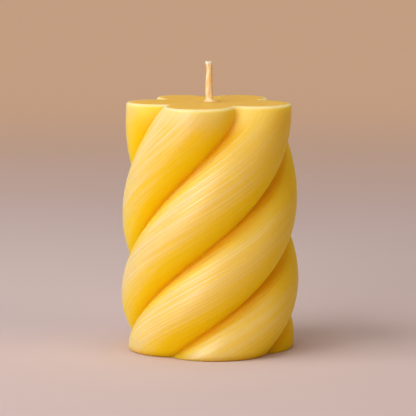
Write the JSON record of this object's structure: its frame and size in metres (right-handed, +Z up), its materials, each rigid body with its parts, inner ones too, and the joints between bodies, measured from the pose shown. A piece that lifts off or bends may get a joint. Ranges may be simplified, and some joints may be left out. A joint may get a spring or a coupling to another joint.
{
  "type": "twisted pillar candle",
  "caption": "Free-standing pillar candle of yellow beeswax with five deep twisted strands, a flat top and base, and a waxed cotton wick on a steel tab.",
  "frame": {"origin": "middle of the flat base, on the wick's axis", "axes": "+Z up along the wick, +X to the right and -Y to the front as the picture shows it"},
  "size_m": [0.0717, 0.0717, 0.1163],
  "materials": {
    "beeswax": "soft satin wax, slightly translucent",
    "tab_steel": "tinned sheet",
    "cotton": "braided yarn",
    "priming_wax": "thin translucent wax"
  },
  "bodies": {
    "root": {"wax_pillar": "beeswax", "wick_tab": "tab_steel", "wick": "cotton", "wick_coat": "priming_wax"}
  },
  "joints": []
}
